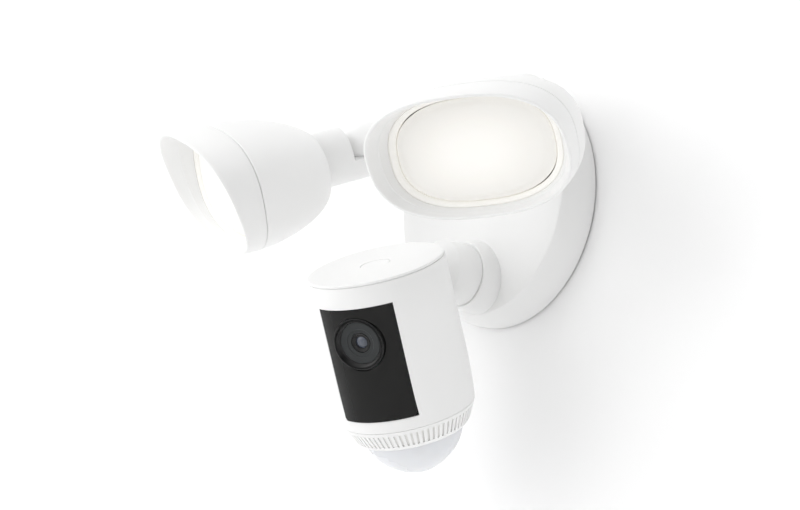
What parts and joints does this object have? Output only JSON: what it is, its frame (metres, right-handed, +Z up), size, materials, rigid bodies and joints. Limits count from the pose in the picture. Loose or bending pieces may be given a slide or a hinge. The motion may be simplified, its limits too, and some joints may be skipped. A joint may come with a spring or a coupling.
{
  "type": "floodlight security camera",
  "caption": "Wall-mounted outdoor security camera under a pair of adjustable hooded floodlights, on a round base with jointed arms.",
  "frame": {"origin": "middle of the base's bracket, on the wall plane", "axes": "+Y into the wall, +Z up, +X to the right for someone who faces the wall"},
  "size_m": [0.3093, 0.1654, 0.2306],
  "materials": {
    "aluminium": "cast aluminium",
    "black_gloss": "black gloss",
    "black_rubber": "black silicone",
    "brass": "plain brass",
    "circuit_green": "green solder resist",
    "dark_grey": "dark grey satin",
    "dome_white": "milky translucent lens",
    "glass": "coated lens glass",
    "grey_rubber": "grey foam seal",
    "led_white": "white solder resist",
    "potting_black": "black epoxy",
    "soft_white": "matt off-white moulding",
    "steel": "stainless",
    "warm_diffuser": "frosted warm-white diffuser",
    "white_plastic": "satin white moulding",
    "zinc": "zinc-plated sheet"
  },
  "bodies": {
    "base": {"base_housing": "white_plastic", "wall_bracket": "zinc", "bracket_screw_left": "steel", "bracket_screw_right": "steel", "housing_screw": "steel", "earth_screw": "brass", "wall_gasket": "grey_rubber", "rear_cover": "soft_white", "wire_grommet": "black_rubber", "power_board": "circuit_green", "driver_transformer": "potting_black", "terminal_block": "soft_white"},
    "left_arm_body": {"left_arm": "white_plastic", "left_elbow_washer": "black_rubber", "left_arm_seal": "black_rubber", "left_arm_nut": "brass"},
    "left_neck_body": {"left_neck": "white_plastic", "left_elbow_screw": "steel"},
    "left_head": {"left_head_housing": "white_plastic", "left_hood": "white_plastic", "left_diffuser_frame": "soft_white", "left_diffuser": "warm_diffuser", "left_head_seal": "black_rubber", "left_light_board": "led_white", "left_heat_sink": "aluminium", "left_twist_clip": "steel"},
    "right_arm_body": {"right_arm": "white_plastic", "right_elbow_washer": "black_rubber", "right_arm_seal": "black_rubber", "right_arm_nut": "brass"},
    "right_neck_body": {"right_neck": "white_plastic", "right_elbow_screw": "steel"},
    "right_head": {"right_head_housing": "white_plastic", "right_hood": "white_plastic", "right_diffuser_frame": "soft_white", "right_diffuser": "warm_diffuser", "right_head_seal": "black_rubber", "right_light_board": "led_white", "right_heat_sink": "aluminium", "right_twist_clip": "steel"},
    "camera_neck_body": {"camera_neck": "white_plastic", "camera_neck_nut": "brass"},
    "ball_carrier": {"ball_liner": "dark_grey"},
    "camera_unit": {"camera_shell": "white_plastic", "top_cap": "white_plastic", "button_switch": "dark_grey", "front_window": "black_gloss", "lens_surround": "dark_grey", "lens_barrel": "black_gloss", "lens_glass": "glass", "sensor_board": "circuit_green", "infrared_board": "circuit_green", "main_board": "circuit_green", "speaker": "dark_grey", "sound_grille": "white_plastic", "motion_dome": "dome_white", "motion_sensor": "steel", "sensor_carrier": "circuit_green"},
    "button": {"setup_button": "white_plastic"}
  },
  "joints": [
    {"name": "left_arm_swivel", "type": "hinge", "parent": "base", "child": "left_arm_body", "pos_m": [-0.04523, -0.03531, 0.0375], "axis": [-0.8271, -0.5621, 0], "range_deg": [-60, 60]},
    {"name": "left_elbow", "type": "hinge", "parent": "left_arm_body", "child": "left_neck_body", "pos_m": [-0.0664, -0.0497, 0.0375], "axis": [0.3119, -0.4589, 0.8319], "range_deg": [-39, 22]},
    {"name": "left_head_twist", "type": "hinge", "parent": "left_neck_body", "child": "left_head", "pos_m": [-0.07824, -0.07975, 0.02536], "axis": [-0.3431, -0.8709, -0.3518], "range_deg": [-60, 60]},
    {"name": "right_arm_swivel", "type": "hinge", "parent": "base", "child": "right_arm_body", "pos_m": [0.04523, -0.03531, 0.0375], "axis": [0.8271, -0.5621, 0], "range_deg": [-60, 60]},
    {"name": "right_elbow", "type": "hinge", "parent": "right_arm_body", "child": "right_neck_body", "pos_m": [0.0664, -0.0497, 0.0375], "axis": [-0.4442, -0.6537, 0.6127], "range_deg": [-22, 40]},
    {"name": "right_head_twist", "type": "hinge", "parent": "right_neck_body", "child": "right_head", "pos_m": [0.08016, -0.0758, 0.01963], "axis": [0.3989, -0.7566, -0.518], "range_deg": [-60, 60]},
    {"name": "camera_neck_swivel", "type": "hinge", "parent": "base", "child": "camera_neck_body", "pos_m": [0, -0.035, -0.046], "axis": [0, -1, 0], "range_deg": [-30, 30]},
    {"name": "camera_pan", "type": "hinge", "parent": "camera_neck_body", "child": "ball_carrier", "pos_m": [0, -0.0692, -0.046], "axis": [0, 0, 1], "range_deg": [-71, 28]},
    {"name": "camera_tilt", "type": "hinge", "parent": "ball_carrier", "child": "camera_unit", "pos_m": [0, -0.0692, -0.046], "axis": [0.9291, 0.3697, 0], "range_deg": [-28, 17]},
    {"name": "setup_button_press", "type": "slide", "parent": "camera_unit", "child": "button", "axis": [-0.1787, 0.449, -0.8755], "range_m": [0, 0.0008], "stiffness_N_per_m": 400, "springref_m": -0.0006}
  ]
}
